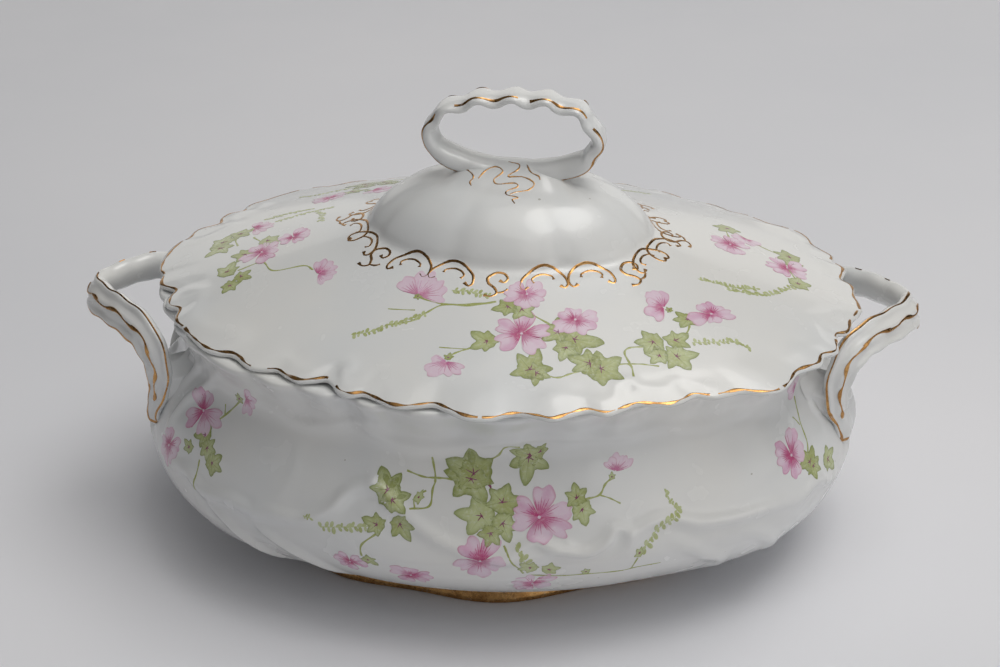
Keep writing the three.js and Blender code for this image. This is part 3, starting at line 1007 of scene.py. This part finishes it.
def blob(mesh, skin, centre, outline, heart, colour_of, lift, rings=5):
    """A filled painted shape. outline and heart are (right, up) millimetres round the centre, and
    colour_of takes such points and how near each is to the outline, from 0 to 1."""
    columns = len(outline)
    share = np.repeat(np.linspace(0, 1, rings + 1), [1] + [columns] * rings)
    flat = heart + (np.vstack([heart, *[outline] * rings]) - heart) * share[:, None]
    angle, row = skin.spots(centre, flat)
    surface = skin.point(angle, row)
    normal = skin.smooth_normal(angle, row)
    under = [*range(len(flat) - columns, len(flat)), 0]
    points = np.vstack([surface + lift * normal, surface[under] - 0.3 * normal[under]])
    colours = colour_of(flat, share)
    faces = []
    last = len(flat)
    for i in range(columns):
        j = (i + 1) % columns
        faces.append((0, 1 + i, 1 + j))
        for a in range(1, last, columns):
            faces.append((a + i, a + columns + i, a + columns + j, a + j))
        faces.append((last + columns, last + j, last + i))
    mesh.add(points, faces, np.vstack([colours, colours[under]]))


def blend(a, b, amount):
    return a + (b - a) * np.clip(amount, 0, 1)[..., None]


def plain(colour):
    return lambda flat, share: np.tile(colour, (len(flat), 1))


def laid(mesh, skin, angle, row, half_width, proud, colour):
    """A painted line along points of a skin."""
    bead(mesh, skin.point(angle, row), skin.smooth_normal(angle, row), half_width, proud, colour)


def line(mesh, skin, centre, path, half_width, colour, proud):
    flat = spline(path, 5)
    taper = np.sin(np.pi * np.linspace(0.12, 0.96, len(flat))) ** 0.6
    laid(mesh, skin, *skin.spots(centre, flat), half_width * taper, proud, colour)


def petal(mesh, skin, centre, length, half_width, turn, tone, lift):
    """A fan with a ruffled end, streaked from its heart and outlined in places."""
    t = lap(40)
    out = (1 - np.cos(t)) / 2
    phase = random.uniform(0, TURN)
    ruffle = 0.05 * length * np.sin(4.5 * t + phase) * out**2
    notch = 0.13 * length * np.exp(-(((t - np.pi - 0.2 * math.sin(phase)) / 0.22) ** 2))
    along = length * (0.06 + 0.94 * out) - notch + ruffle
    aside = half_width * np.sin(t) * (0.3 + 0.85 * out)

    def colour_of(flat, share):
        far, off = turned(*flat.T, -turn).T / [[length], [half_width]]
        colour = blend(PINK_DEEP, PINK, far * 2.4 - 0.3)
        pale = ramp(far, 0.25, 0.6) * (0.75 + 0.4 * np.sin(off * 4 + phase)) + tone
        colour = blend(colour, PINK_PALE, pale)
        rim = ramp(share, 0.75, 1) * (0.55 + 0.45 * np.sin(5 * off + phase))
        return blend(colour, PINK_DEEP, 0.6 * rim * (1 - 0.6 * tone))

    heart = turned(0.55 * length, 0, turn)
    blob(mesh, skin, centre, turned(along, aside, turn), heart, colour_of, lift)
    shade = blend(PINK_DEEP, PINK, tone)
    for fan in np.linspace(-0.6, 0.6, 6):
        way = turned(length, 0, turn + fan * 0.8)
        streak = [way * 0.05, way * random.uniform(0.3, 0.75)]
        line(mesh, skin, centre, streak, 0.2, shade, lift + 0.03)


def blossom(mesh, skin, centre, radius, turn, petals=5, squash=1.0, tone=0.0, spread=360.0):
    """petals are laid round the centre over spread degrees, from turn."""
    for k in range(petals):
        direction = math.radians(turn + k * spread / petals + random.uniform(-13, 13))
        length = radius * random.uniform(0.7, 1.12)
        length *= math.hypot(math.cos(direction), squash * math.sin(direction))
        half_width = radius * random.uniform(0.34, 0.56)
        white = tone + random.choice([0, 0, 0.15, 0.45])
        petal(mesh, skin, centre, length, half_width, direction, white, 0.07 + 0.02 * k)
    if spread < 360:
        return
    t = lap(14)
    eye = radius * 0.05 * np.stack([np.cos(t), np.sin(t)], -1)
    blob(mesh, skin, centre, eye, np.zeros(2), plain(PINK_PALE), 0.22, 1)


LOBES = ((0, 1.0), (60, 0.86), (-60, 0.82), (126, 0.72), (-126, 0.68))


def leaf(mesh, skin, centre, size, turn, tone=0.0, fold=1.0):
    """A lobed leaf whose longest lobe points at turn. fold narrows it across."""
    size = 1.08 * size
    t = lap(72)
    radius = 0.5 + 0.04 * np.cos(t)
    lobes = [(math.radians(a + random.uniform(-9, 9)), r * random.uniform(0.8, 1.12)) for a, r in LOBES]
    for direction, reach in lobes:
        gap = np.abs(np.angle(np.exp(1j * (t - direction))))
        lobe = reach * (np.exp(-((gap / 0.72) ** 1.9)) + 0.14 * np.exp(-gap / 0.1)) / 1.14
        radius = np.maximum(radius, lobe)
    radius = radius * size * (1 + 0.03 * np.sin(9 * t + random.uniform(0, TURN)))
    spin = math.radians(turn)
    outline = turned(radius * np.cos(t), radius * np.sin(t) * fold, spin)
    shade = random.uniform(-0.35, 0.4) + tone
    phase = random.uniform(0, TURN)

    def colour_of(flat, share):
        way = np.arctan2(flat[:, 1], flat[:, 0])
        ribs = (0.5 + 0.5 * np.cos(13 * way + phase)) * ramp(np.hypot(*flat.T) / size, 0.1, 0.5)
        side = 0.5 + 0.5 * np.cos(way - spin - 1.2)
        colour = blend(GREEN, GREEN_PALE, shade + 0.45 * side + 0.4 * ribs)
        return blend(colour, GREEN_DARK, ramp(share, 0.7, 1) * (0.9 - 0.4 * tone))

    blob(mesh, skin, centre, outline, np.zeros(2), colour_of, 0.09)
    for direction, reach in lobes[:4]:
        way = turned(size * math.cos(direction), size * math.sin(direction) * fold, spin)
        rib = [way * 0.02, way * reach * 0.8]
        line(mesh, skin, centre, rib, 0.12, blend(GREEN_DARK, GREEN_PALE, 0.3 + tone), 0.13)
        vein = [way * -0.05, way * reach * random.uniform(0.14, 0.3)]
        line(mesh, skin, centre, vein, 0.26, PLUM, 0.17)


def vine(mesh, skin, path, half_width, colour=GREEN):
    """A stem through (degrees, row) points."""
    degrees, row = spline(path, 8).T
    swell = 1 + 0.25 * np.sin(np.arange(len(row)) * 0.9)
    laid(mesh, skin, np.radians(degrees), row, half_width * swell, 0.08, colour)


def fern(mesh, skin, path, size):
    """Small leaflets on both sides of a thin stem."""
    way = spline(path, 16)
    vine(mesh, skin, path, 0.2, GREEN_PALE)
    run = travelled(skin.smooth(np.radians(way[:, 0]), way[:, 1]))
    t = lap(10)
    for k, where in enumerate(np.arange(0.5, run[-1], size * 0.4)):
        centre = [np.interp(where, run, column) for column in way.T]
        turn = (1 if k % 2 else -1) * random.uniform(0.7, 1.5) + random.uniform(-0.4, 0.4)
        reach = size * random.uniform(0.6, 1.1)
        outline = turned(reach * (0.5 + 0.5 * np.cos(t)), 0.3 * reach * np.sin(t), turn)
        shade = blend(GREEN_PALE, GREEN, random.uniform(0, 0.8))
        blob(mesh, skin, centre, outline, turned(reach / 2, 0, turn), plain(shade), 0.08, 1)


def paint(mesh, skin, spray, half_turn=0):
    """Draws groups of (shape, rows). A row is a place or a path, and then the shape's sizes."""
    for shape, rows in spray:
        for where, *sizes in rows:
            shape(mesh, skin, np.array(where) + (half_turn, 0), *sizes)


# The bowl's large spray, on its front and again on its back.
BOWL_FRONT = [(vine, [
    ([(258.2, 62), (261.2, 63.5), (261.5, 69), (261.8, 73), (261, 80)], 0.36),
    ([(261.8, 73), (259.8, 73), (257, 74.5)], 0.32), ([(261.8, 73), (264, 73), (267, 72)], 0.36),
    ([(259, 62), (258.8, 66), (260.5, 68.5)], 0.28),
    ([(270, 79.5), (272, 82), (273.2, 86), (275.5, 85.5)], 0.36),
    ([(268.4, 73.5), (269.4, 72), (270.6, 71.4), (270.8, 68.4)], 0.4, PLUM),
    ([(254, 53), (253.3, 51.5), (251, 46.2), (250.8, 41)], 0.36),
    ([(285.6, 66), (288, 67), (289.2, 70.2), (290.4, 72)], 0.36),
    ([(288, 67), (289.6, 65.6), (291.2, 63.5)], 0.24),
    ([(272.8, 51), (274.2, 44), (275.8, 37.5)], 0.36),
    ([(277, 36.5), (281.8, 35.5), (285.5, 35.6), (291.2, 35.2), (294, 36.2), (298, 36.4)], 0.3),
    ([(293.4, 42), (293, 35.6)], 0.3),
]), (fern, [
    ([(252.5, 54.2), (249, 52.4), (244, 50)], 2.6), ([(242.6, 53), (241, 53)], 1.6),
    ([(274.6, 51.6), (275.4, 47), (276.2, 43.6)], 2.8),
    ([(300.6, 60), (299.5, 56), (297, 53.5), (295, 48), (293.8, 44)], 2.8),
    ([(299, 66), (299.4, 62), (300.6, 58)], 1.7),
]), (leaf, [
    ((254.4, 67.4), 8.4, 118), ((255.4, 64.5), 7.4, -38), ((253.3, 55), 5.8, 160),
    ((256.9, 56.4), 6.4, -62), ((259.4, 66), 4, 60, 0.5, 0.6), ((268, 75.2), 12, 100),
    ((267.6, 73.4), 10.5, -128, 0.2), ((277.2, 82), 6.6, 160), ((277, 81), 8.6, -92, 0.2),
    ((278.8, 83), 5.4, 60, 0, 0.6), ((272.6, 66), 8.6, 72), ((269.4, 61.4), 9.6, 178, 0.45),
    ((272.6, 59), 7.6, -76, 0.1), ((270.8, 55.5), 5.8, -110, 0.2), ((284.3, 66.6), 5.8, 98),
    ((284.9, 62.8), 6.6, -78, 0.4), ((276.8, 41), 5.2, 130, 0.5), ((279.6, 39.6), 5, 20, 0.5),
    ((293.6, 44), 3.4, 70, 0.3, 0.7), ((251.6, 39.2), 4.2, -40, 0.2), ((285.6, 37), 2.4, 100, 0.4),
]), (blossom, [
    ((278.2, 61), 12, 20, 6), ((269.3, 45.4), 10, 60), ((291.2, 74.2), 7.6, 20, 3, 1, 0.5, 150),
]), (leaf, [
    ((290.5, 72.4), 1.9, 90),
]), (blossom, [
    ((277.4, 31), 9, 40, 5, 1, 0.1), ((248.2, 36), 8, 130, 5, 1, 0), ((258, 33), 8, 20, 5, 1, 0),
])]

# The bowl's small sprays beside the handles, and again half a turn round.
BOWL_ENDS = [(vine, [
    ([(214.5, 68), (218, 75.5), (221, 83)], 0.36), ([(218, 75), (217, 79)], 0.3),
    ([(216, 57), (216.5, 51), (217, 46)], 0.36),
    ([(331, 60), (332.5, 66), (333.5, 74), (334.2, 80)], 0.36), ([(332.6, 70), (331.2, 74)], 0.24),
]), (leaf, [
    ((215, 66), 6.6, -160), ((217, 62.5), 6, -60, 0.2), ((212, 58.5), 4.2, 160),
    ((219.5, 58.5), 6.6, -20), ((221, 84), 3, 90),
]), (blossom, [
    ((211.4, 72.4), 11, 80), ((204.8, 53), 10, 40), ((223.2, 86), 7, -80, 3, 1, 0.5, 170),
]), (leaf, [
    ((331, 57), 7, 120), ((331.6, 55), 6, -100, 0.2), ((337, 53), 6.6, -50),
]), (blossom, [
    ((326.6, 63), 10.5, 70), ((335, 82), 6.5, 60, 3, 1, 0.5, 150),
])]

# The lid's large spray, on its front and again on its back.
LID_FRONT = [(vine, [
    ([(251.5, 55), (259, 56), (267.8, 54), (273, 52.4)], 0.36),
    ([(273, 52.4), (266, 55.2), (259, 56.4), (256, 61), (254, 65.6), (249.5, 69.4)], 0.36),
    ([(246.2, 62.8), (252.8, 60.8)], 0.22), ([(274, 53), (281.5, 57), (286, 61.5), (289, 65.5)], 0.36),
    ([(270, 73), (266.5, 76.5), (265.5, 79)], 0.36), ([(262.8, 75), (268.2, 74.5)], 0.22),
    ([(283, 83.8), (285.5, 85), (287.5, 83.8), (290, 82.4)], 0.36),
    ([(289.6, 74.8), (290.6, 78), (292.2, 79.6)], 0.4, PLUM),
    ([(296, 81), (299.5, 81.4), (298.9, 86.5)], 0.36),
    ([(299.7, 81.2), (300, 76.5), (301.8, 74.6), (305, 75)], 0.36),
    ([(299.8, 81.2), (302, 81.9), (304.8, 83.6)], 0.3),
    ([(313, 75), (315.2, 74), (319, 70.6), (320.5, 67)], 0.36),
]), (fern, [
    ([(256, 61.5), (252, 66.5), (249.5, 69.5), (247, 74), (244, 77)], 2.2),
    ([(259, 49.4), (265, 49), (271, 50)], 2.2), ([(315.4, 77), (320, 79), (324, 81.5), (325, 86)], 2.2),
    ([(340.2, 56), (344.5, 64), (349.5, 70.5)], 2),
]), (leaf, [
    ((276.4, 54.4), 6.2, 200, 0.1), ((280, 55.4), 6, -50, 0.2), ((272.2, 70.4), 7, 150, 0.3),
    ((288, 65.6), 7.6, 150), ((291, 69), 9.6, -12, 0.1), ((288.6, 72.4), 6.6, -110, 0.2),
    ((280.8, 81.6), 9, 70), ((281.8, 83), 6.4, -30, 0.2), ((292.2, 79.6), 8.2, 150),
    ((293.8, 82), 10.5, -40, 0.25), ((307.6, 73.6), 7.6, 170), ((312.4, 74.8), 6.6, 10),
    ((309.6, 81), 8.6, -10, 0.1), ((306.5, 79.5), 6, 150, 0.2), ((320.6, 68), 6.8, 160, 0.1, 0.8),
]), (blossom, [
    ((279.6, 66.4), 10.5, 80), ((293.2, 60.6), 9.6, 20, 6, 0.72), ((282, 48.6), 8.6, 10, 6, 0.8, 0.3),
    ((250.4, 54), 11, 5, 4, 1, 0.55, 200),
]), (leaf, [
    ((250.6, 54.6), 2, -60),
]), (blossom, [
    ((265.3, 80.6), 8, 180, 4, 1, 0.5, 200),
]), (leaf, [
    ((265.4, 79), 2.2, 90),
]), (blossom, [
    ((318.4, 61), 9.4, 60, 4, 1, 0.15, 170),
]), (leaf, [
    ((318.9, 62.6), 2, 90),
]), (blossom, [
    ((327.6, 69), 9.4, 30, 5, 0.7),
])]

# The lid's small sprays on its two ends.
LID_ENDS = [(vine, [
    ([(199.5, 78), (199, 70.5), (206, 69), (209.5, 61), (214, 60)], 0.36),
    ([(192, 76), (187, 70), (180, 74)], 0.36), ([(172, 77), (178, 80), (184, 78)], 0.36),
    ([(30, 66), (24, 64), (16, 62)], 0.36), ([(16, 80), (12, 80), (8, 78), (2, 80)], 0.36),
    ([(16, 80), (19, 74), (24, 70), (30, 68)], 0.36),
]), (fern, [
    ([(166, 76), (163, 72), (160, 64)], 2.4), ([(164, 60), (168, 56), (176, 54)], 2.2),
]), (leaf, [
    ((179.4, 84), 7.8, 170), ((182.8, 83.4), 7, -40, 0.2), ((175.4, 80), 6.6, 120),
    ((185, 68.8), 6.4, 60, 0.1), ((191, 75), 6.6, -40), ((198.4, 81), 7, 150, 0.1),
    ((205.6, 82), 5.6, -60), ((203, 78), 5, 40, 0.2),
]), (blossom, [
    ((192.6, 70), 9.4, 70), ((186.6, 60.6), 9, 20, 5, 0.8), ((172.4, 76.6), 8.4, 40, 4, 1, 0.2, 200),
    ((217.5, 60.2), 9.6, 10, 4, 1, 0.3, 190),
]), (fern, [
    ([(0, 80), (-5, 77), (-12, 73), (-18, 64)], 2.2),
]), (leaf, [
    ((31, 67.6), 7.4, 120, 0.1), ((17, 80.6), 8, 60, 0.1), ((12.4, 80), 6, -20), ((1, 80), 7, -60, 0.2),
]), (blossom, [
    ((15, 61.6), 9.4, 60), ((8.6, 77.4), 9, 20), ((24, 70), 7.6, 60, 4, 1, 0.3, 200),
])]

# ---- Everything together.

bowl_shell()
lid_shell()
foot_band()
flange_wall()
side_handle(1, "bail_right")
side_handle(-1, "bail_left")
loop_handle()
dome_border().gilt("dome_border", "lid")
rim_line().gilt("rim_line", "lid")
crown_ribbon().gilt("crown_ribbon", "lid")



def painted_piece(name, body, skin, spray, half_turn=0):
    shapes = Mesh()
    paint(shapes, skin, spray, half_turn)
    shapes.piece(name, body, painted)


for label, half_turn in (("front", 0), ("back", 180)):
    painted_piece("bowl_spray_" + label, "bowl", bowl, BOWL_FRONT, half_turn)
    painted_piece("bowl_end_sprays_" + label, "bowl", bowl, BOWL_ENDS, half_turn)
    painted_piece("lid_spray_" + label, "lid", lid, LID_FRONT, half_turn)
painted_piece("lid_end_sprays", "lid", lid, LID_ENDS)

# ---- Stage and light.


def paper():
    m = Nodes("paper")
    tone = m.mix(m.spread(m.noise(2.2), 0.3, 0.7), srgb(234, 234, 238), srgb(228, 229, 234))
    m.shader.inputs["Specular IOR Level"].default_value = 0.2
    roughness = m.spread(m.noise(30), 0.3, 0.7, 0.55, 0.7)
    return m.finish(tone, roughness, m.bump(m.noise(1500, 2), 0.00004, 0.3))


def add_floor():
    half = 4.0
    points = [(-half, -half, 0), (half, -half, 0), (half, half, 0), (-half, half, 0)]
    mesh = bpy.data.meshes.new("floor")
    mesh.from_pydata(points, [], [(0, 1, 2, 3)])
    mesh.materials.append(paper())
    floor = placed("floor", mesh)


# Name, place, what it aims at, size and watts.
LIGHTS = [
    ("overhead", (0.42, -0.16, 1.9), (0, 0, 0.05), (2.7, 1.9), 14),
    ("overhead_core", (0.53, -0.1, 1.82), (0, 0, 0.05), (1.5, 1.0), 10.5),
    ("window_left", (0.2, -1.03, 1.15), (0, 0, 0.08), (0.42, 1.0), 0.8),
    ("window_middle", (0.8, -0.8, 1.1), (0, 0, 0.08), (0.42, 1.0), 0.3),
    ("window_right", (1.5, -1.15, 0.4), (0, 0, 0.02), (2.2, 1.1), 6.2),
    ("back_wall", (0, 2.4, 0.7), (0, 0, 0.3), (4.4, 1.6), 12),
]
SOFT_WHITE = (1, 0.985, 0.955)


def add_light(name, spot, aim, size, watts):
    lamp = bpy.data.lights.new(name, "AREA")
    lamp.shape = "ELLIPSE"
    lamp.size, lamp.size_y = size
    lamp.energy = watts
    lamp.color = SOFT_WHITE
    placed(name, lamp, spot, aim)


def add_world():
    world = bpy.data.worlds.new("studio")
    world.use_nodes = True
    background = world.node_tree.nodes["Background"]
    background.inputs["Color"].default_value = (0.9, 0.9, 0.91, 1)
    background.inputs["Strength"].default_value = 0.1
    bpy.context.scene.world = world


add_floor()
for light in LIGHTS:
    add_light(*light)
add_world()
bpy.context.scene.view_settings.view_transform = "Standard"
